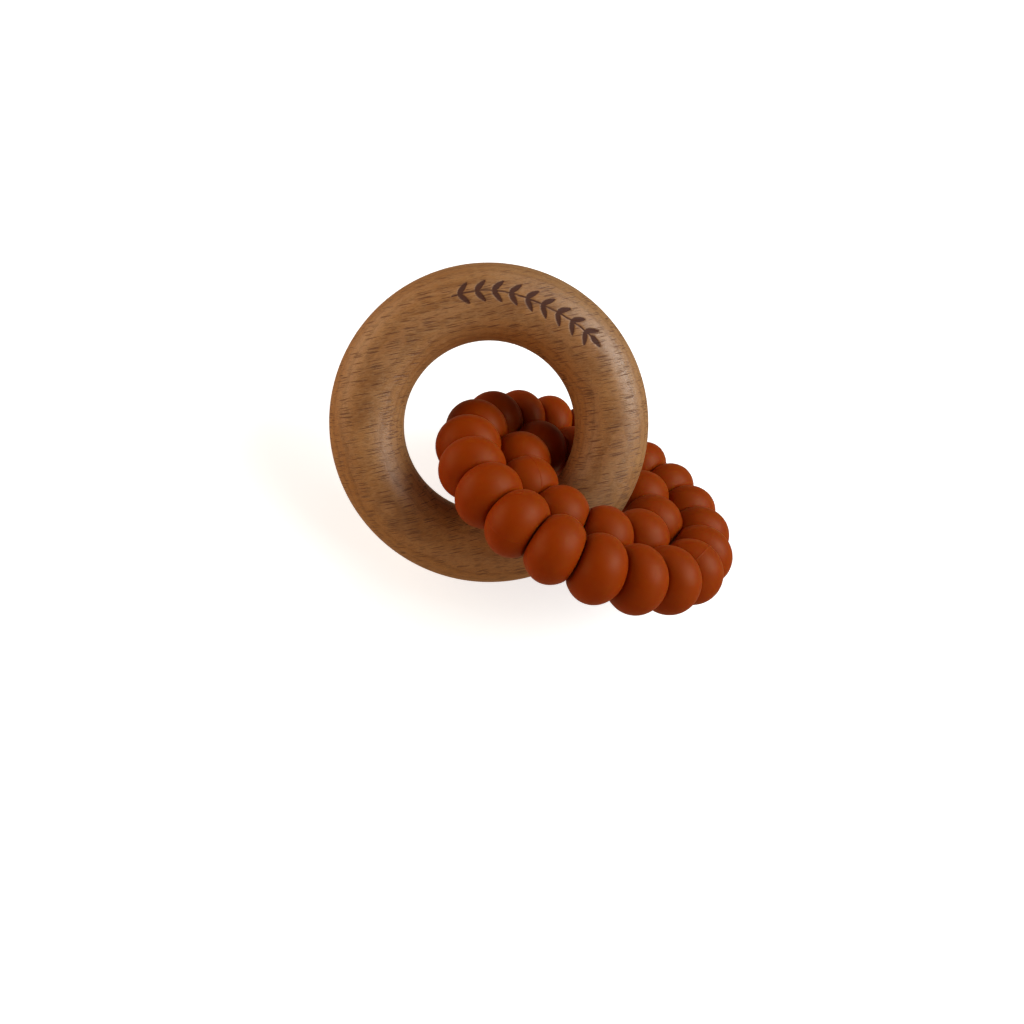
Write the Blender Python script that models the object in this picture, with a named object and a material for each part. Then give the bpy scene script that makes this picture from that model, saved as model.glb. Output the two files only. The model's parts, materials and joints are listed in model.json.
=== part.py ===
"""Baby rattle: a beech teething ring with a two-row loop of silicone beads threaded through it.

The rattle lies as it rests on a table: the wooden ring leans on the bead loop, its lowest point
and the two lowest beads of the outer row touch the table, z = 0.  Units are metres, +Z is up.
"""
import math

import bmesh
import bpy
from mathutils import Matrix, Vector

# ---- driving dimensions -------------------------------------------------------------------
RING_OUTER_DIAMETER = 0.070
RING_SECTION_DIAMETER = 0.016

OUTER_BEADS = 20
INNER_BEADS = 10                      # each sits in every second crease of the outer row
OUTER_ROW_RADIUS = 0.0287             # loop centre to the bores of the outer row
INNER_ROW_RADIUS = 0.0165
OUTER_BEAD_DIAMETER = 0.0144          # across the bore
INNER_BEAD_DIAMETER = 0.0135
OUTER_BEAD_LENGTH = 0.0119            # along the bore, before the bead is squeezed
INNER_BEAD_LENGTH = 0.0126
BORE_DIAMETER = 0.0032

CORD_DIAMETER = 0.0015
KNOT_DIAMETER = 0.0023
INNER_KNOT_ANGLE = math.radians(20)   # in the loop, from the rocking axis

CONTACT_GAP = 0.0003                  # left between pieces that press on each other

# ---- resting place ------------------------------------------------------------------------
RING_PLACE = (-0.01215, 0.00671)      # ring's centre in X, Y, with the whole rattle centred
RING_LEAN = math.radians(45.4)        # ring's axis from vertical, towards -Y
LOOP_TRAVEL = math.radians(-22.3)     # place of the loop round the ring, from +X
LOOP_INSET = 0.0008                   # loop's centre inside the ring's own centre line
LOOP_ROCK = math.radians(21.7)        # loop's axis from the ring's tangent
ROCK_TOWARDS = math.radians(114.2)    # side it rocks to, from outward towards the ring's axis
LOOP_TURN = math.radians(14.2)        # first outer bead from the rocking axis

# ---- fineness of the meshes ---------------------------------------------------------------
RING_STEPS = 48
RING_SECTION_STEPS = 14
BEAD_SIDES = 12
BEAD_RINGS = 9                        # circles on a bead between its two end flats
CORD_STEPS = 40
CORD_SIDES = 6
KNOT_SUBDIVISIONS = 2
FLATTENING_PASSES = 12

# ---- worked out from the above ------------------------------------------------------------
RING_SECTION_RADIUS = RING_SECTION_DIAMETER / 2
RING_CENTRELINE = RING_OUTER_DIAMETER / 2 - RING_SECTION_RADIUS
RING_HEIGHT = RING_CENTRELINE * math.sin(RING_LEAN) + RING_SECTION_RADIUS
OUTER_STEP = math.tau / OUTER_BEADS
INNER_STEP = math.tau / INNER_BEADS


def clear_scene():
    for obj in list(bpy.data.objects):
        bpy.data.objects.remove(obj, do_unlink=True)


def material(name, colour, roughness, metallic=0.0):
    mat = bpy.data.materials.new(name)
    mat.use_nodes = True
    shader = mat.node_tree.nodes["Principled BSDF"]
    shader.inputs["Base Color"].default_value = (*colour, 1.0)
    shader.inputs["Roughness"].default_value = roughness
    shader.inputs["Metallic"].default_value = metallic
    return mat


def mesh_from(bm, name, mat):
    bmesh.ops.recalc_face_normals(bm, faces=bm.faces)
    bmesh.ops.triangulate(bm, faces=bm.faces)
    mesh = bpy.data.meshes.new(name)
    bm.to_mesh(mesh)
    bm.free()
    mesh.shade_smooth()
    mesh.set_sharp_from_angle(angle=math.radians(40))
    mesh.materials.append(mat)
    return mesh


def place(name, mesh, parent=None, turn=0.0):
    """A named piece whose origin lies at its parent's origin, turned about the parent's Z."""
    obj = bpy.data.objects.new(name, mesh)
    bpy.context.collection.objects.link(obj)
    obj.parent = parent
    obj.rotation_euler.z = turn
    return obj


def skin(bm, rings, closed):
    """Faces between successive vertex circles; closed joins the last circle to the first."""
    pairs = zip(rings, rings[1:] + rings[:1]) if closed else zip(rings, rings[1:])
    for low, high in pairs:
        for i in range(len(low)):
            j = (i + 1) % len(low)
            bm.faces.new((low[i], low[j], high[j], high[i]))


def arc_circle(row_radius, angle, radius, sides):
    """Circle of points round the arc of row_radius, in the plane across the arc."""
    outward = Vector((math.cos(angle), math.sin(angle), 0.0))
    points = []
    for i in range(sides):
        a = math.tau * i / sides
        across = radius * math.cos(a)
        points.append(outward * (row_radius + across) + Vector((0, 0, radius * math.sin(a))))
    return points


def torus_mesh(name, mat, row_radius, radius, steps, sides):
    bm = bmesh.new()
    rings = []
    for k in range(steps):
        circle = arc_circle(row_radius, math.tau * k / steps, radius, sides)
        rings.append([bm.verts.new(p) for p in circle])
    skin(bm, rings, closed=True)
    return mesh_from(bm, name, mat)


def cord_mesh(name, mat, row_radius):
    """Cord that starts and ends at its knot, which is at angle 0."""
    knot_reach = (KNOT_DIAMETER / 2 + CONTACT_GAP) / row_radius
    bm = bmesh.new()
    rings = []
    for k in range(CORD_STEPS + 1):
        angle = knot_reach + (math.tau - 2 * knot_reach) * k / CORD_STEPS
        circle = arc_circle(row_radius, angle, CORD_DIAMETER / 2, CORD_SIDES)
        rings.append([bm.verts.new(p) for p in circle])
    skin(bm, rings, closed=False)
    bm.faces.new(rings[0])
    bm.faces.new(rings[-1])
    return mesh_from(bm, name, mat)


def knot_mesh(name, mat, row_radius):
    bm = bmesh.new()
    bmesh.ops.create_icosphere(
        bm, subdivisions=KNOT_SUBDIVISIONS, radius=KNOT_DIAMETER / 2,
        matrix=Matrix.Translation((row_radius, 0, 0)))
    return mesh_from(bm, name, mat)


def end_planes(step):
    """The two planes through the loop's axis between which a bead of this spacing is squeezed."""
    half = step / 2
    return [
        (Vector((-math.sin(half), math.cos(half), 0)), -CONTACT_GAP / 2),
        (Vector((-math.sin(half), -math.cos(half), 0)), -CONTACT_GAP / 2),
    ]


def support(diameter, length, lean):
    """Reach of a bead from its centre in a direction that leans from square to its bore."""
    return math.hypot(diameter / 2 * math.cos(lean), length / 2 * math.sin(lean))


def nest_plane(side, outward):
    """Plane on which an outer bead (outward True) or an inner bead presses on the other row.

    side is +1 or -1: the side of the bead on which its neighbour in the other row lies.
    """
    offset = OUTER_STEP / 2
    if outward:
        own = Vector((OUTER_ROW_RADIUS, 0, 0))
        other = INNER_ROW_RADIUS * Vector((math.cos(offset), side * math.sin(offset), 0))
    else:
        own = Vector((INNER_ROW_RADIUS, 0, 0))
        other = OUTER_ROW_RADIUS * Vector((math.cos(offset), side * math.sin(offset), 0))
    towards = (other - own).normalized()
    own_lean = math.asin(abs(towards.y))
    other_lean = math.acos(abs(towards.dot(other.normalized())))
    sizes = [(OUTER_BEAD_DIAMETER, OUTER_BEAD_LENGTH), (INNER_BEAD_DIAMETER, INNER_BEAD_LENGTH)]
    if not outward:
        sizes.reverse()
    reach = support(*sizes[0], own_lean)
    other_reach = support(*sizes[1], other_lean)
    squeeze = (reach + other_reach - (other - own).length) / 2
    return towards, own.dot(towards) + reach - squeeze - CONTACT_GAP / 2


def press_flat(verts, planes):
    """Moves every vertex that stands beyond a plane back onto it."""
    for _ in range(FLATTENING_PASSES):
        for vert in verts:
            for normal, reach in planes:
                beyond = vert.co.dot(normal) - reach
                if beyond > 0:
                    vert.co -= normal * beyond


def bead_mesh(name, mat, row_radius, diameter, length, step, nests):
    """Bored bead at angle 0 of its row, with flats where its neighbours squeeze it."""
    bm = bmesh.new()
    rings = []
    skin_verts = []
    for k in range(BEAD_RINGS):
        polar = math.radians(30) + math.radians(120) * k / (BEAD_RINGS - 1)
        across = diameter / 2 * math.sin(polar)
        along = length / 2 * math.cos(polar)
        ring = []
        for i in range(BEAD_SIDES):
            a = math.tau * i / BEAD_SIDES
            point = (row_radius + across * math.cos(a), along, across * math.sin(a))
            ring.append(bm.verts.new(point))
        rings.append(ring)
        skin_verts += ring
    press_flat(skin_verts, end_planes(step) + nests)

    half = step / 2 - CONTACT_GAP / 2 / row_radius
    bore_steps = 2 * round(step / OUTER_STEP)
    for k in range(bore_steps + 1):
        angle = -half + 2 * half * k / bore_steps
        circle = arc_circle(row_radius, angle, BORE_DIAMETER / 2, BEAD_SIDES)
        rings.append([bm.verts.new(p) for p in circle])
    skin(bm, rings, closed=True)
    return mesh_from(bm, name, mat)


def ring_frame():
    """Empty at the centre of the wooden ring, Z along the ring's axis."""
    empty = bpy.data.objects.new("ring_frame", None)
    bpy.context.collection.objects.link(empty)
    empty.location = (*RING_PLACE, RING_HEIGHT)
    empty.rotation_euler.x = RING_LEAN
    return empty


def loop_frame(ring):
    """Empty at the loop's centre: Z along the loop's axis, X along the rocking axis."""
    outward = Vector((math.cos(LOOP_TRAVEL), math.sin(LOOP_TRAVEL), 0))
    ring_axis = Vector((0, 0, 1))
    tangent = ring_axis.cross(outward)
    rocked = math.cos(ROCK_TOWARDS) * outward + math.sin(ROCK_TOWARDS) * ring_axis
    axis = math.cos(LOOP_ROCK) * tangent + math.sin(LOOP_ROCK) * rocked
    rocking_axis = tangent.cross(axis).normalized()
    turn = Matrix((rocking_axis, axis.cross(rocking_axis), axis)).transposed()

    empty = bpy.data.objects.new("loop_frame", None)
    bpy.context.collection.objects.link(empty)
    empty.parent = ring
    centre = outward * (RING_CENTRELINE - LOOP_INSET)
    empty.matrix_local = Matrix.Translation(centre) @ turn.to_4x4()
    return empty


def build_wooden_ring(frame):
    beech = material("beech_wood", (0.52, 0.30, 0.15), 0.45)
    mesh = torus_mesh("wooden_ring", beech, RING_CENTRELINE, RING_SECTION_RADIUS,
                      RING_STEPS, RING_SECTION_STEPS)
    place("wooden_ring", mesh, frame)


def build_outer_row(frame, silicone):
    """Beads in pairs: each pair holds one inner bead in the crease between its two beads."""
    halves = []
    for side in (1, -1):
        halves.append(bead_mesh("outer_bead", silicone, OUTER_ROW_RADIUS, OUTER_BEAD_DIAMETER,
                                OUTER_BEAD_LENGTH, OUTER_STEP, [nest_plane(side, True)]))
    for k in range(OUTER_BEADS):
        place(f"outer_bead_{k + 1:02d}", halves[k % 2], frame, LOOP_TURN + k * OUTER_STEP)


def build_inner_row(frame, silicone):
    nests = [nest_plane(1, False), nest_plane(-1, False)]
    mesh = bead_mesh("inner_bead", silicone, INNER_ROW_RADIUS, INNER_BEAD_DIAMETER,
                     INNER_BEAD_LENGTH, INNER_STEP, nests)
    for k in range(INNER_BEADS):
        turn = LOOP_TURN + OUTER_STEP / 2 + k * INNER_STEP
        place(f"inner_bead_{k + 1:02d}", mesh, frame, turn)


def build_cords(frame):
    """One knotted cord through each row; the outer knot lies on the rocking axis."""
    cotton = material("waxed_cord", (0.42, 0.13, 0.05), 0.8)
    rows = (("outer", OUTER_ROW_RADIUS, 0.0), ("inner", INNER_ROW_RADIUS, INNER_KNOT_ANGLE))
    for row, radius, knot_angle in rows:
        place(f"{row}_cord", cord_mesh(f"{row}_cord", cotton, radius), frame, knot_angle)
        place(f"{row}_knot", knot_mesh(f"{row}_knot", cotton, radius), frame, knot_angle)


def build_rattle():
    clear_scene()
    ring = ring_frame()
    loop = loop_frame(ring)
    silicone = material("terracotta_silicone", (0.46, 0.10, 0.025), 0.55)
    build_wooden_ring(ring)
    build_outer_row(loop, silicone)
    build_inner_row(loop, silicone)
    build_cords(loop)
    bpy.context.view_layer.update()


build_rattle()
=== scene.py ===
"""Looks of the baby rattle: a beech ring threaded through a two-row loop of silicone beads."""
import json
import math
import random

import bpy
import numpy as np
from mathutils import Matrix, Vector, noise


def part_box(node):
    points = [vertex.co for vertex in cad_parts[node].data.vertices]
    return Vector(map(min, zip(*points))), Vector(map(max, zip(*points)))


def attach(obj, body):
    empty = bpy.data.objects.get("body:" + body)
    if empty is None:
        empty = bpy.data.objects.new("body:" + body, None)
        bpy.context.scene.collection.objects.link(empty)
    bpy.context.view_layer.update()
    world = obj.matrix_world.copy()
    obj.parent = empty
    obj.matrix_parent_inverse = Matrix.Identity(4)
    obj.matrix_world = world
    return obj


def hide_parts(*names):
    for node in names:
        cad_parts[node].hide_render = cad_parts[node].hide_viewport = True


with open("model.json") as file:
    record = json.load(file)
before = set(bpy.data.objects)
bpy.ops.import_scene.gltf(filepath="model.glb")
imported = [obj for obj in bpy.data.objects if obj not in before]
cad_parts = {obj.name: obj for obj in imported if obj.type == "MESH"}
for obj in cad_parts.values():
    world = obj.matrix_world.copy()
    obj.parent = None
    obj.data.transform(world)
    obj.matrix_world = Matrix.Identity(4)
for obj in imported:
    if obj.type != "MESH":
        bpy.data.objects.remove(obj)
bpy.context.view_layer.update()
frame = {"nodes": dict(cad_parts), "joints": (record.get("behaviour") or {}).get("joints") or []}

MM = 0.001

# ---- sizes that the frame doesn't hold ----------------------------------------------------
RING_SECTION_RADIUS = 8.08 * MM
OUTER_ROW = {"radius": 28.7 * MM, "diameter": 14.4 * MM, "length": 11.9 * MM, "count": 20}
INNER_ROW = {"radius": 16.5 * MM, "diameter": 13.5 * MM, "length": 12.6 * MM, "count": 10}
BORE_RADIUS = 1.6 * MM
CORD_RADIUS = 0.75 * MM
KNOT_RADIUS = 1.15 * MM
SKIN_GAP = 0.04 * MM             # between beads that press on each other
CREASE_SOFTNESS = 0.14 * MM      # rounding where a bead meets its flat

# ---- camera and light ---------------------------------------------------------------------
CAMERA_FROM_RING = Vector((-4.09, -114.56, 138.91)) * MM
CAMERA_AZIMUTH = math.radians(-7.10)
CAMERA_ELEVATION = math.radians(55.77)
CAMERA_ROLL = math.radians(16.94)
CAMERA_LENS = 28.57
WARM = (1.0, 0.74, 0.44)
DAYLIGHT = (0.89, 1.0, 1.03)


def joint(name):
    return next(j for j in frame["joints"] if j["name"] == name)


def frame_at(centre, z_axis, x_axis):
    """Matrix of a local frame in the row frame."""
    z = Vector(z_axis).normalized()
    x = Vector(x_axis)
    x = (x - z * x.dot(z)).normalized()
    turn = Matrix((x, z.cross(x), z)).transposed()
    return Matrix.Translation(Vector(centre)) @ turn.to_4x4()


RING_FRAME = frame_at(joint("loop_travel")["pos_m"], joint("loop_travel")["axis"], (1, 0, 0))
LOOP_FRAME = frame_at(joint("bead_turn")["pos_m"], joint("bead_turn")["axis"],
                      joint("loop_rock")["axis"])
RING_CENTRE = RING_FRAME.translation
RING_RADIUS = (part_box("wooden_ring")[1].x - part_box("wooden_ring")[0].x) / 2 - RING_SECTION_RADIUS


def bead_nodes(row):
    return sorted(n for n in frame["nodes"] if n.startswith(f"{row}_bead_"))


def node_angle(node):
    """Angle of a bead's node round the loop's axis, from the rocking axis."""
    low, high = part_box(node)
    local = LOOP_FRAME.inverted() @ ((low + high) / 2)
    return math.atan2(local.y, local.x)


def row_phase(row, count):
    """Angle of the row's first bead, averaged over the row."""
    step = math.tau / count
    turns = [node_angle(n) - k * step for k, n in enumerate(bead_nodes(row))]
    return math.atan2(sum(map(math.sin, turns)), sum(map(math.cos, turns)))


# ---- mesh helpers -------------------------------------------------------------------------

def grid_mesh(name, points, wrap_u=True, wrap_v=True, caps=False):
    """Mesh over a (u, v, 3) grid of points; wraps join the last row or column to the first."""
    nu, nv = points.shape[:2]
    verts = points.reshape(-1, 3)
    us = np.arange(nu if wrap_u else nu - 1)
    vs = np.arange(nv if wrap_v else nv - 1)
    u, v = np.meshgrid(us, vs, indexing="ij")
    u2, v2 = (u + 1) % nu, (v + 1) % nv
    quads = np.stack([u * nv + v, u2 * nv + v, u2 * nv + v2, u * nv + v2], -1).reshape(-1, 4)
    faces = quads.tolist()
    if caps:
        faces.append(list(range(nv))[::-1])
        faces.append([(nu - 1) * nv + i for i in range(nv)])
    mesh = bpy.data.meshes.new(name)
    mesh.from_pydata(verts.tolist(), [], faces)
    mesh.shade_smooth()
    mesh.validate()
    return mesh


def add_piece(name, mesh, matrix, body, slot, mat, *nodes):
    obj = bpy.data.objects.new(name, mesh)
    bpy.context.scene.collection.objects.link(obj)
    obj.matrix_world = matrix
    mesh.materials.append(mat)
    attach(obj, body)
    if nodes:
        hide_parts(*nodes)
    return obj


def smooth_noise(points, scale, seed, octaves=2):
    """Fractal noise from about -1 to 1 at each point."""
    shift = Vector((seed * 7.31, seed * 3.17, seed * 5.73))
    return np.array([noise.fractal(Vector(p) * scale + shift, 1.0, 2.0, octaves) for p in points])


def smoothstep(low, high, x):
    t = np.clip((x - low) / (high - low), 0.0, 1.0)
    return t * t * (3 - 2 * t)


# ---- material helpers ---------------------------------------------------------------------

def new_material(name):
    mat = bpy.data.materials.new(name)
    mat.use_nodes = True
    return mat, mat.node_tree, mat.node_tree.nodes["Principled BSDF"]


def node(tree, kind, inputs=None, **settings):
    """A shader node; an input is a number, a colour or the socket that feeds it."""
    made = tree.nodes.new("ShaderNode" + kind)
    for key, value in settings.items():
        setattr(made, key, value)
    for key, value in (inputs or {}).items():
        feed(tree, made.inputs[key], value)
    return made


def feed(tree, socket, value):
    if isinstance(value, bpy.types.NodeSocket):
        tree.links.new(value, socket)
    else:
        socket.default_value = value


def maths(tree, operation, a, b=0.0):
    return node(tree, "Math", {0: a, 1: b}, operation=operation).outputs[0]


def remap(tree, value, low, high, to_low=0.0, to_high=1.0):
    made = node(tree, "MapRange", {"Value": value, "From Min": low, "From Max": high,
                                   "To Min": to_low, "To Max": to_high})
    made.interpolation_type = "SMOOTHSTEP"
    return made.outputs["Result"]


def mix(tree, factor, a, b, blend="MIX"):
    made = node(tree, "Mix", data_type="RGBA", blend_type=blend)
    feed(tree, made.inputs[0], factor)
    feed(tree, made.inputs[6], a)
    feed(tree, made.inputs[7], b)
    return made.outputs[2]


def noise_at(tree, vector, scale, detail=2.0, roughness=0.5, distortion=0.0):
    made = node(tree, "TexNoise", {"Vector": vector, "Scale": scale, "Detail": detail,
                                   "Roughness": roughness, "Distortion": distortion})
    return made.outputs["Fac"]


def stretched(tree, vector, size, angle=0.0):
    """Coordinates divided by a size in metres along each axis, first turned about Z."""
    turned = node(tree, "Mapping", {"Vector": vector, "Rotation": (0, 0, -angle)})
    scaled = node(tree, "Mapping", {"Vector": turned.outputs[0],
                                    "Scale": tuple(1 / s for s in size)})
    return scaled.outputs[0]


def rgb(r, g, b):
    return (r, g, b, 1.0)


# ---- beech --------------------------------------------------------------------------------
GRAIN_ANGLE = math.radians(22.5)      # grain direction in the ring's plane
LAYER_THICKNESS = 1.45 * MM           # one year's growth
LAYER_WANDER = 2.6                    # layers that the broad drift shifts them by
WOOD_RELIEF = 0.09 * MM

def dashes(tree, place, size, share, seed):
    """Short thin streaks along the grain: one per cell, kept in the given share of the cells."""
    moved = node(tree, "VectorMath", {0: stretched(tree, place, size, GRAIN_ANGLE),
                                      1: (seed, 2.3 * seed, 3.1 * seed)})
    cells = node(tree, "TexVoronoi", {"Vector": moved.outputs[0], "Scale": 1.0})
    chance = node(tree, "SeparateColor", {0: cells.outputs["Color"]}).outputs[0]
    kept = maths(tree, "LESS_THAN", chance, share)
    return maths(tree, "MULTIPLY", remap(tree, cells.outputs["Distance"], 0.48, 0.26), kept)


def beech_material():
    mat, tree, shader = new_material("beech")
    place = node(tree, "TexCoord").outputs["Object"]
    grain = GRAIN_ANGLE

    drift = noise_at(tree, stretched(tree, place, (40 * MM, 14 * MM, 14 * MM), grain), 1.0, 2.0)
    broad = noise_at(tree, stretched(tree, place, (18 * MM, 4 * MM, 4 * MM), grain), 1.0, 3.0)
    height = node(tree, "SeparateXYZ", {0: place}).outputs[2]
    layer = maths(tree, "ADD", maths(tree, "DIVIDE", height, LAYER_THICKNESS),
                  maths(tree, "MULTIPLY", drift, LAYER_WANDER))
    across_layer = maths(tree, "FRACT", layer)
    late = maths(tree, "MULTIPLY", remap(tree, across_layer, 0.45, 0.93),
                 remap(tree, across_layer, 1.0, 0.95))
    fibre = noise_at(tree, stretched(tree, place, (4 * MM, 0.24 * MM, 0.24 * MM), grain), 1.0, 3.0)
    silk = noise_at(tree, stretched(tree, place, (0.9 * MM, 0.12 * MM, 0.12 * MM), grain), 1.0, 2.0)
    mottle = noise_at(tree, stretched(tree, place, (1.3 * MM, 0.8 * MM, 0.8 * MM), grain), 1.0, 3.0)
    long_dash = dashes(tree, place, (4.2 * MM, 0.24 * MM, 2.6 * MM), 0.33, 1.0)
    short_dash = dashes(tree, place, (2.2 * MM, 0.19 * MM, 1.5 * MM), 0.40, 5.0)
    # Where the surface faces across the grain the streaks are seen flat on, broad and pale.
    across_grain = (-math.sin(grain), math.cos(grain), 0.0)
    facing = node(tree, "VectorMath", {0: node(tree, "TexCoord").outputs["Normal"],
                                       1: across_grain}, operation="DOT_PRODUCT").outputs["Value"]
    edge_on = remap(tree, maths(tree, "ABSOLUTE", facing), 0.55, 0.95, 1.0, 0.22)
    long_dash = maths(tree, "MULTIPLY", long_dash, edge_on)
    short_dash = maths(tree, "MULTIPLY", short_dash, edge_on)

    colour = mix(tree, remap(tree, broad, 0.30, 0.70), rgb(0.460, 0.207, 0.066),
                 rgb(0.400, 0.165, 0.045))
    colour = mix(tree, remap(tree, across_layer, 0.0, 0.6, 0.35, 0.0), colour,
                 rgb(0.42, 0.195, 0.096))
    colour = mix(tree, maths(tree, "MULTIPLY", late, 0.42), colour, rgb(0.200, 0.068, 0.022))
    colour = mix(tree, remap(tree, mottle, 0.42, 0.70, 0.0, 0.34), colour, rgb(0.52, 0.280, 0.120))
    colour = mix(tree, remap(tree, fibre, 0.40, 0.70, 0.0, 0.42), colour, rgb(0.52, 0.265, 0.105))
    colour = mix(tree, remap(tree, silk, 0.46, 0.70, 0.0, 0.46), colour, rgb(0.190, 0.068, 0.017))
    colour = mix(tree, maths(tree, "MULTIPLY", long_dash, 0.78), colour, rgb(0.120, 0.032, 0.006))
    colour = mix(tree, maths(tree, "MULTIPLY", short_dash, 0.50), colour, rgb(0.13, 0.038, 0.008))

    burn = node(tree, "Attribute", attribute_name="burn").outputs["Fac"]
    scorch = mix(tree, fibre, rgb(0.050, 0.0085, 0.0010), rgb(0.105, 0.0220, 0.0030))
    colour = mix(tree, burn, colour, scorch)
    feed(tree, shader.inputs["Base Color"], colour)

    rough = maths(tree, "ADD", remap(tree, fibre, 0.3, 0.7, 0.40, 0.53),
                  maths(tree, "MULTIPLY", long_dash, 0.12))
    rough = maths(tree, "ADD", rough, maths(tree, "MULTIPLY", burn, 0.35))
    feed(tree, shader.inputs["Roughness"], rough)
    relief = maths(tree, "ADD", maths(tree, "MULTIPLY", fibre, 0.7),
                   maths(tree, "MULTIPLY", mottle, 0.8))
    relief = maths(tree, "SUBTRACT", relief, maths(tree, "MULTIPLY", long_dash, 0.8))
    relief = maths(tree, "SUBTRACT", relief, maths(tree, "MULTIPLY", short_dash, 0.4))
    bump = node(tree, "Bump", {"Height": relief, "Distance": WOOD_RELIEF, "Strength": 0.6})
    feed(tree, shader.inputs["Normal"], bump.outputs[0])
    shader.inputs["Specular IOR Level"].default_value = 0.70
    return mat


# Burnt sprig on the ring's face: a stem that follows the ring with pairs of small leaves.
SPRIG_FROM = math.radians(48)
SPRIG_TO = math.radians(118)
SPRIG_LINE = math.radians(78)         # place across the section: 90 is the top of the face
SPRIG_HALF_WIDTH = 3.2 * MM
SPRIG_LEAVES = 9
LEAF_LENGTH = 3.1 * MM
LEAF_WIDTH = 0.62 * MM
BURN_DEPTH = 0.12 * MM
BURN_EDGE = 0.10 * MM
STEM_HALF_WIDTH = 0.17 * MM
STEM_SWAY = 0.35 * MM
STEM_WAVES = 2.5 * math.pi            # phase of the sway from end to end
LEAF_TURN = 0.82                      # radians from the stem
FINE_STEP = 0.17 * MM


def leaf_depth(s, t, base, direction):
    """How far inside a pointed leaf each (s, t) lies; negative outside."""
    ds, dt = s - base[0], t - base[1]
    c, n = math.cos(direction), math.sin(direction)
    along = (ds * c + dt * n) / LEAF_LENGTH
    across = -ds * n + dt * c
    width = LEAF_WIDTH * np.sqrt(np.clip(4 * along * (1 - along), 0, None)) * (1.15 - 0.5 * along)
    inside = width - np.abs(across)
    return np.where((along > 0) & (along < 1), inside, -1.0)


def sprig_burn(s, t, length):
    """Burn from 0 to 1 over the sprig, for distances along and across its line."""
    stem = STEM_HALF_WIDTH - np.abs(t - STEM_SWAY * np.sin(s / length * STEM_WAVES))
    stem = np.where((s > 0.5 * MM) & (s < length - 1.0 * MM), stem, -1.0)
    depth = stem
    pitch = length / (SPRIG_LEAVES + 1)
    for k in range(SPRIG_LEAVES):
        base_s = pitch * (k + 0.55)
        base_t = STEM_SWAY * math.sin(base_s / length * STEM_WAVES)
        for side in (1, -1):
            depth = np.maximum(depth, leaf_depth(s, t, (base_s, base_t), side * LEAF_TURN))
    tip = (length - LEAF_LENGTH - 0.4 * MM, STEM_SWAY)
    depth = np.maximum(depth, leaf_depth(s, t, tip, 0.0))
    return smoothstep(-BURN_EDGE / 2, BURN_EDGE / 2, depth)


def stepped(low, high, fine_low, fine_high, coarse, fine):
    """Values from low up to high, closer together between fine_low and fine_high."""
    parts = [np.linspace(low, fine_low, max(2, math.ceil((fine_low - low) / coarse)), False),
             np.linspace(fine_low, fine_high, math.ceil((fine_high - fine_low) / fine), False),
             np.linspace(fine_high, high, max(2, math.ceil((high - fine_high) / coarse)), False)]
    return np.concatenate(parts)


def build_ring(mat):
    half_band = SPRIG_HALF_WIDTH / RING_SECTION_RADIUS
    line_radius = RING_RADIUS + RING_SECTION_RADIUS * math.cos(SPRIG_LINE)
    start = SPRIG_FROM - math.pi / 2
    rounds = stepped(start, start + math.tau, SPRIG_FROM, SPRIG_TO,
                     math.radians(1.5), FINE_STEP / line_radius)
    base = SPRIG_LINE - math.pi
    across = stepped(base, base + math.tau, SPRIG_LINE - half_band, SPRIG_LINE + half_band,
                     math.radians(4.5), FINE_STEP / RING_SECTION_RADIUS)
    a, b = np.meshgrid(rounds, across, indexing="ij")
    s = (SPRIG_TO - a) * line_radius
    t = (SPRIG_LINE - b) * RING_SECTION_RADIUS
    length = (SPRIG_TO - SPRIG_FROM) * line_radius
    burn = sprig_burn(s, t, length)
    radius = RING_SECTION_RADIUS - BURN_DEPTH * burn
    out = RING_RADIUS + radius * np.cos(b)
    points = np.stack([out * np.cos(a), out * np.sin(a), radius * np.sin(b)], -1)
    mesh = grid_mesh("beech_ring", points)
    layer = mesh.attributes.new("burn", "FLOAT", "POINT")
    layer.data.foreach_set("value", burn.reshape(-1).astype(np.float32))
    add_piece("beech_ring", mesh, RING_FRAME, "wooden_ring", "beech", mat, "wooden_ring")


# ---- silicone -----------------------------------------------------------------------------

def silicone_material():
    mat, tree, shader = new_material("terracotta_silicone")
    place = node(tree, "TexCoord").outputs["Object"]
    cloud = noise_at(tree, place, 180.0, 3.0, 0.6)
    speck = remap(tree, noise_at(tree, place, 2600.0, 1.0), 0.70, 0.78)
    colour = mix(tree, cloud, rgb(0.310, 0.0360, 0.0003), rgb(0.345, 0.0430, 0.0004))
    colour = mix(tree, maths(tree, "MULTIPLY", speck, 0.25), colour, rgb(0.36, 0.085, 0.012))
    feed(tree, shader.inputs["Base Color"], colour)
    dust = noise_at(tree, place, 900.0, 2.0)
    feed(tree, shader.inputs["Roughness"], remap(tree, dust, 0.3, 0.7, 0.42, 0.50))
    grain = noise_at(tree, place, 5200.0, 2.0)
    bump = node(tree, "Bump", {"Height": grain, "Distance": 0.012 * MM, "Strength": 0.35})
    feed(tree, shader.inputs["Normal"], bump.outputs[0])
    shader.inputs["Subsurface Weight"].default_value = 0.45
    shader.inputs["Subsurface Radius"].default_value = (1.0, 0.25, 0.06)
    shader.inputs["Subsurface Scale"].default_value = 1.6 * MM
    shader.inputs["Specular IOR Level"].default_value = 0.22
    shader.inputs["Specular Tint"].default_value = (1.0, 0.66, 0.42, 1.0)
    shader.inputs["Sheen Weight"].default_value = 0.05
    shader.inputs["Sheen Roughness"].default_value = 0.25
    shader.inputs["Sheen Tint"].default_value = (1.0, 0.55, 0.35, 1.0)
    return mat


def support(row, lean):
    """Reach of a bead from its centre in a direction that leans from square to its bore."""
    return math.hypot(row["diameter"] / 2 * math.cos(lean), row["length"] / 2 * math.sin(lean))


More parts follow.
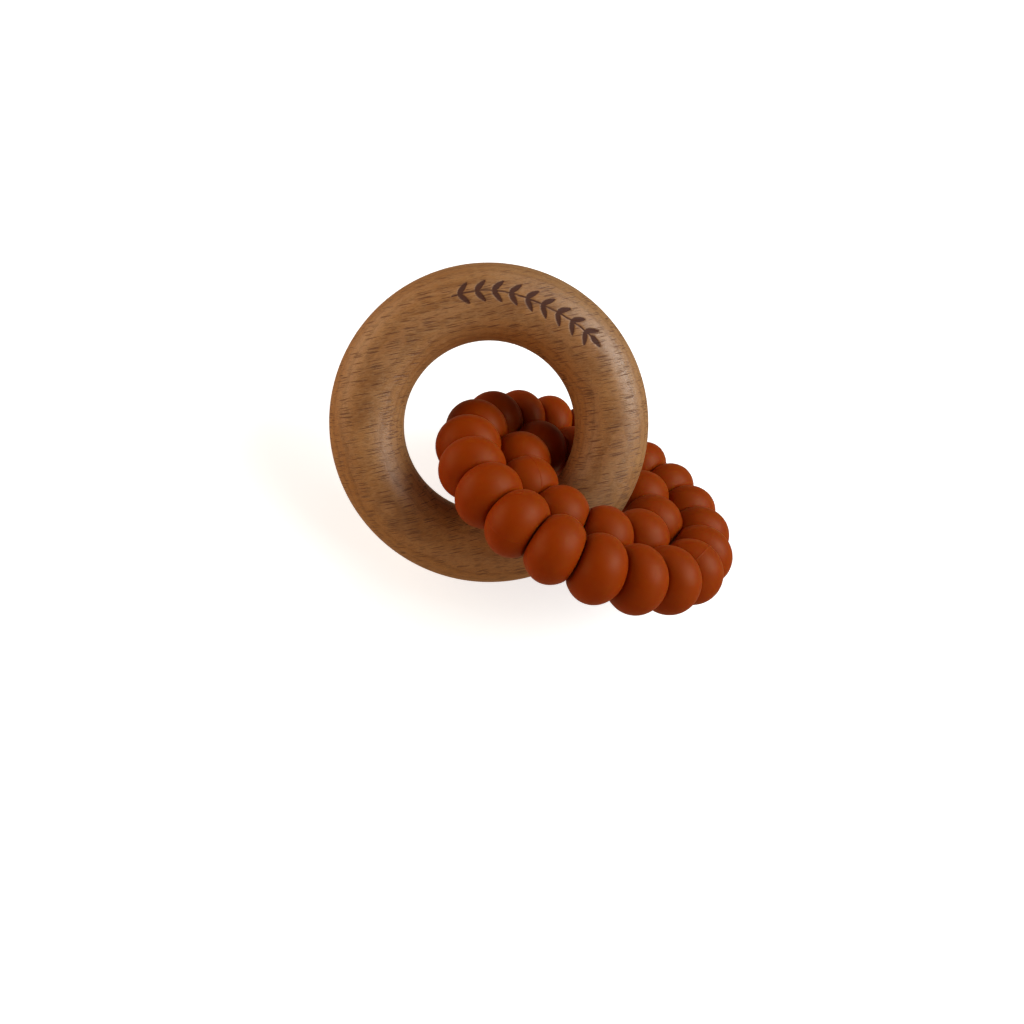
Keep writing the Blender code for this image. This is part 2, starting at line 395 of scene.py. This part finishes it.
def end_planes(row):
    half = math.pi / row["count"]
    return [(np.array((-math.sin(half), side * math.cos(half), 0.0)), -SKIN_GAP / 2)
            for side in (1, -1)]


def nest_plane(row, other_row, side):
    """Plane on which a bead presses on its neighbour in the other row, on its side +1 or -1."""
    offset = math.pi / OUTER_ROW["count"]
    own = np.array((row["radius"], 0.0, 0.0))
    other_out = np.array((math.cos(offset), side * math.sin(offset), 0.0))
    gap = other_row["radius"] * other_out - own
    distance = float(np.linalg.norm(gap))
    towards = gap / distance
    own_lean = math.asin(abs(towards[1]))
    other_lean = math.acos(abs(float(towards @ other_out)))
    squeeze = (support(row, own_lean) + support(other_row, other_lean) - distance) / 2
    reach = float(own @ towards) + support(row, own_lean) - squeeze - SKIN_GAP / 2
    return towards, reach


def press(points, planes, softness):
    """Points beyond a plane come back to it, with a soft edge where the flat begins."""
    for _ in range(3):
        for normal, reach in planes:
            beyond = points @ normal - reach
            kept = -softness * np.logaddexp(0.0, -beyond / softness)
            points = points + (kept - beyond)[..., None] * normal
    return points


SEAM_HALF_WIDTH = 0.08 * MM
COARSE_SKIN = (40, 64)           # rings and sides of a bead's skin
FINE_SKIN = (150, 200)

# Mould marks that stand out: place of the seam round the bore and its height, and where a
# gate scar lies, as its angle round the bore and its angle from the bore's axis.
MARKED = {
    "inner_bead_07": {"seam": math.radians(78), "height": 0.070 * MM},
    "outer_bead_20": {"seam": math.radians(87), "height": 0.100 * MM},
    "outer_bead_15": {"seam": math.radians(0), "height": 0.040 * MM,
                      "scar": (math.radians(80), math.radians(114))},
}
SCAR_RADIUS = 0.85 * MM
SCAR_HEIGHT = 0.16 * MM
SCAR_LIP = 0.16 * MM              # width of its raised edge
SCAR_DIMPLE = 0.35 * MM


def bead_sides(seam, radius, count):
    """Angles round the bore: even, with close columns over the two seam lines."""
    even = np.linspace(0, math.tau, count, endpoint=False)
    half = np.array([0.5, 1.0, 1.6, 2.3, 3.2, 4.5]) * SEAM_HALF_WIDTH / radius
    close = np.concatenate([-half[::-1], [0.0], half])
    lines = np.concatenate([seam + close, seam + math.pi + close]) % math.tau
    apart = min(0.5 * math.tau / count, 2 * SEAM_HALF_WIDTH / radius)
    keep = [a for a in even if np.min(np.abs((a - lines + math.pi) % math.tau - math.pi)) > apart]
    return np.sort(np.concatenate([keep, lines]))


def scar_height(points, row, scar):
    """Height of the low crescent that a trimmed gate leaves."""
    round_bore, from_bore = scar
    across = row["diameter"] / 2 * math.sin(from_bore)
    middle = np.array((row["radius"] + across * math.cos(round_bore),
                       row["length"] / 2 * math.cos(from_bore),
                       across * math.sin(round_bore)))
    off = points - middle
    distance = np.linalg.norm(off, axis=-1)
    lip = np.exp(-((distance - SCAR_RADIUS) / SCAR_LIP) ** 2)
    open_side = smoothstep(-0.6, 0.5, -off[..., 1] / (distance + 1e-9))
    dimple = np.exp(-(distance / SCAR_DIMPLE) ** 2)
    return SCAR_HEIGHT * (lip * (1 - 0.8 * open_side) - 0.5 * dimple)


def bead_mesh(name, row, planes, marks, seed):
    """A bored bead at angle 0 of its row, pressed flat by its neighbours."""
    rings_, sides_ = FINE_SKIN if "scar" in marks else COARSE_SKIN
    radius, half_length = row["diameter"] / 2, row["length"] / 2
    sides = bead_sides(marks["seam"], radius, sides_)
    start = math.asin(min(0.99, BORE_RADIUS * 1.25 / radius))
    polar = np.linspace(start, math.pi - start, rings_)
    p, a = np.meshgrid(polar, sides, indexing="ij")
    off_seam = np.abs((a - marks["seam"] + math.pi / 2) % math.pi - math.pi / 2) * radius
    ridge = marks["height"] * np.exp(-(off_seam / SEAM_HALF_WIDTH) ** 2)
    swell = radius + ridge
    points = np.stack([row["radius"] + swell * np.sin(p) * np.cos(a),
                       (half_length + ridge) * np.cos(p), swell * np.sin(p) * np.sin(a)], -1)
    shape = 0.03 * MM * smooth_noise(points.reshape(-1, 3), 130.0, seed).reshape(p.shape)
    if "scar" in marks:
        shape = shape + scar_height(points, row, marks["scar"])
    outward = points - np.array((row["radius"], 0.0, 0.0))
    outward /= np.linalg.norm(outward, axis=-1, keepdims=True)
    points = press(points + outward * shape[..., None], planes, CREASE_SOFTNESS)

    half = math.pi / row["count"] - SKIN_GAP / row["radius"]
    mouth = [(half, BORE_RADIUS * 1.12), (half - 0.2 * MM / row["radius"], BORE_RADIUS)]
    bore = [(half * f, BORE_RADIUS) for f in (0.5, 0.0, -0.5)]
    bore = mouth + bore + [(-x, r) for x, r in reversed(mouth)]
    rings = []
    for angle, r in reversed(bore):
        out = np.array((math.cos(angle), math.sin(angle), 0.0))
        ring = out * (row["radius"] + r * np.cos(sides))[:, None]
        ring[:, 2] += r * np.sin(sides)
        rings.append(ring)
    points = np.concatenate([points, np.stack(rings)])
    return grid_mesh(name, points)


def build_row(row_name, row, planes_of, mat):
    phase = row_phase(row_name, row["count"])
    rng = random.Random(17 if row_name == "outer" else 29)
    for k, name in enumerate(bead_nodes(row_name)):
        plain = {"seam": rng.uniform(0, math.pi), "height": rng.uniform(0.006, 0.018) * MM}
        piece = name.replace("bead", "silicone_bead")
        mesh = bead_mesh(piece, row, planes_of(k), MARKED.get(name, plain), rng.uniform(0, 50))
        turn = Matrix.Rotation(phase + k * math.tau / row["count"], 4, "Z")
        add_piece(piece, mesh, LOOP_FRAME @ turn, "bead_loop", "silicone", mat, name)


def outer_planes(k):
    return end_planes(OUTER_ROW) + [nest_plane(OUTER_ROW, INNER_ROW, -1 if k % 2 else 1)]


def inner_planes(_):
    return end_planes(INNER_ROW) + [nest_plane(INNER_ROW, OUTER_ROW, side) for side in (1, -1)]


# ---- cords --------------------------------------------------------------------------------

def cord_material():
    mat, tree, shader = new_material("waxed_cord")
    place = node(tree, "TexCoord").outputs["Object"]
    strand = noise_at(tree, place, 3000.0, 3.0, 0.6)
    colour = mix(tree, strand, rgb(0.20, 0.045, 0.012), rgb(0.42, 0.13, 0.045))
    feed(tree, shader.inputs["Base Color"], colour)
    feed(tree, shader.inputs["Roughness"], remap(tree, strand, 0.3, 0.7, 0.62, 0.85))
    bump = node(tree, "Bump", {"Height": strand, "Distance": 0.05 * MM, "Strength": 0.6})
    feed(tree, shader.inputs["Normal"], bump.outputs[0])
    return mat


def twisted_tube(name, centres, radius, plies, pitch, sides=18, lobes=0.12):
    """Tube along a line of points whose skin shows twisted plies."""
    centres = np.asarray(centres)
    tangents = np.gradient(centres, axis=0)
    tangents /= np.linalg.norm(tangents, axis=1, keepdims=True)
    run = np.concatenate([[0], np.cumsum(np.linalg.norm(np.diff(centres, axis=0), axis=1))])
    across = np.cross(tangents[0], (0.0, 0.0, 1.0))
    if np.linalg.norm(across) < 0.1:
        across = np.cross(tangents[0], (0.0, 1.0, 0.0))
    rings = []
    for centre, tangent, distance in zip(centres, tangents, run):
        across = across - tangent * float(across @ tangent)
        across /= np.linalg.norm(across)
        up = np.cross(tangent, across)
        a = np.linspace(0, math.tau, sides, endpoint=False)
        ply = np.abs(np.cos(plies / 2 * (a - distance / pitch * math.tau)))
        r = radius * (1 - lobes + lobes * ply)
        rings.append(centre + (r * np.cos(a))[:, None] * across + (r * np.sin(a))[:, None] * up)
    return grid_mesh(name, np.stack(rings), wrap_u=False, caps=True)


def build_cord(row_name, row, mat, body_of_knot):
    low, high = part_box(f"{row_name}_knot")
    local = LOOP_FRAME.inverted() @ ((low + high) / 2)
    knot_angle = math.atan2(local.y, local.x)
    reach = (KNOT_RADIUS + 0.3 * MM) / row["radius"]
    angles = np.linspace(knot_angle + reach, knot_angle + math.tau - reach, 420)
    line = np.stack([np.cos(angles), np.sin(angles), 0 * angles], -1) * row["radius"]
    mesh = twisted_tube(f"{row_name}_cord_plies", line, CORD_RADIUS, 3, 4.5 * MM)
    add_piece(f"{row_name}_cord_plies", mesh, LOOP_FRAME, "cords", "cord", mat, f"{row_name}_cord")

    t = np.linspace(0.05, math.tau - 0.05, 220)
    knot = np.stack([np.sin(t) + 2 * np.sin(2 * t), np.cos(t) - 2 * np.cos(2 * t),
                     -1.25 * np.sin(3 * t)], -1)
    knot *= (KNOT_RADIUS - 0.33 * MM) / 3.0
    mesh = twisted_tube(f"{row_name}_cord_knot", knot, 0.30 * MM, 3, 1.6 * MM, sides=12)
    at = LOOP_FRAME @ Matrix.Translation(local)
    add_piece(f"{row_name}_cord_knot", mesh, at, body_of_knot, "cord", mat, f"{row_name}_knot")


# ---- stage --------------------------------------------------------------------------------
FLOOR_RADIUS = 0.9
WALL_HEIGHT = 1.4
SWEEP = 0.3                           # radius of the curve from floor to wall
FLOOR_GLOW = 0.74

def build_stage():
    """Pale floor that curves up into a wall all round, seen by the camera alone."""
    steps = 24
    profile = [(1e-5, 0.0), (0.3, 0.0)]  # starts just off the axis, so that no hole shows
    for k in range(steps + 1):
        a = math.pi / 2 * k / steps
        profile.append((FLOOR_RADIUS - SWEEP + SWEEP * math.sin(a), SWEEP - SWEEP * math.cos(a)))
    profile.append((FLOOR_RADIUS, WALL_HEIGHT))
    turns = np.linspace(0, math.tau, 96, endpoint=False)
    points = np.array([[(r * math.cos(t), r * math.sin(t), z) for r, z in profile] for t in turns])
    mesh = grid_mesh("studio_floor", points, wrap_v=False)
    mat, tree, shader = new_material("studio_floor")
    shader.inputs["Base Color"].default_value = (0.8, 0.8, 0.8, 1)
    shader.inputs["Roughness"].default_value = 0.9
    shader.inputs["Emission Color"].default_value = (1, 1, 1, 1)
    shader.inputs["Emission Strength"].default_value = FLOOR_GLOW
    mesh.materials.append(mat)
    floor = bpy.data.objects.new("studio_floor", mesh)
    bpy.context.scene.collection.objects.link(floor)
    floor.visible_diffuse = False
    floor.visible_glossy = False
    floor.visible_shadow = False


def build_world():
    """Little light from above the horizon, and the floor's bounce from below it."""
    world = bpy.data.worlds.new("studio_world")
    bpy.context.scene.world = world
    world.use_nodes = True
    tree = world.node_tree
    background = tree.nodes["Background"]
    up = node(tree, "SeparateXYZ", {0: node(tree, "TexCoord").outputs["Generated"]}).outputs[2]
    shade = remap(tree, up, -0.30, 0.10)
    sky = mix(tree, shade, rgb(0.33, 0.215, 0.115), rgb(0.05, 0.05, 0.05))
    feed(tree, background.inputs["Color"], sky)


def add_light(name, azimuth, elevation, size, irradiance, colour=(1.0, 1.0, 1.0), distance=0.6):
    """Area light aimed at the rattle; angles in degrees in the row frame, from +X towards +Y."""
    data = bpy.data.lights.new(name, "AREA")
    data.shape = "RECTANGLE"
    data.size, data.size_y = size
    data.energy = irradiance * math.pi * distance ** 2
    data.color = colour
    lamp = bpy.data.objects.new(name, data)
    bpy.context.scene.collection.objects.link(lamp)
    az, el = math.radians(azimuth), math.radians(elevation)
    towards = Vector((math.cos(el) * math.cos(az), math.cos(el) * math.sin(az), math.sin(el)))
    lamp.location = LOOP_FRAME.translation.lerp(RING_CENTRE, 0.5) + towards * distance
    lamp.rotation_euler = towards.to_track_quat("Z", "Y").to_euler()


def build_camera():
    data = bpy.data.cameras.new("camera")
    data.lens = CAMERA_LENS
    data.sensor_width = 36.0
    data.clip_start = 0.005
    camera = bpy.data.objects.new("camera", data)
    bpy.context.scene.collection.objects.link(camera)
    turn = (Matrix.Rotation(CAMERA_AZIMUTH, 4, "Z")
            @ Matrix.Rotation(math.pi / 2 - CAMERA_ELEVATION, 4, "X")
            @ Matrix.Rotation(CAMERA_ROLL, 4, "Z"))
    camera.matrix_world = Matrix.Translation(RING_CENTRE + CAMERA_FROM_RING) @ turn
    bpy.context.scene.camera = camera
    bpy.context.view_layer.update()


build_camera()
build_ring(beech_material())
silicone = silicone_material()
build_row("outer", OUTER_ROW, outer_planes, silicone)
build_row("inner", INNER_ROW, inner_planes, silicone)
waxed = cord_material()
build_cord("outer", OUTER_ROW, waxed, "outer_knot")
build_cord("inner", INNER_ROW, waxed, "cords")
build_stage()
build_world()
add_light("window", 2, 44, (0.40, 0.42), 2.72, DAYLIGHT)
add_light("ceiling", 70, 60, (0.40, 0.40), 0.30)
add_light("far_wall", 178, 18, (0.70, 0.40), 2.05, WARM)
add_light("low_front", -48, 8, (0.55, 0.25), 0.45, WARM)
add_light("low_side", -100, 6, (0.55, 0.25), 0.28, WARM)
bpy.context.scene.view_settings.view_transform = "Standard"
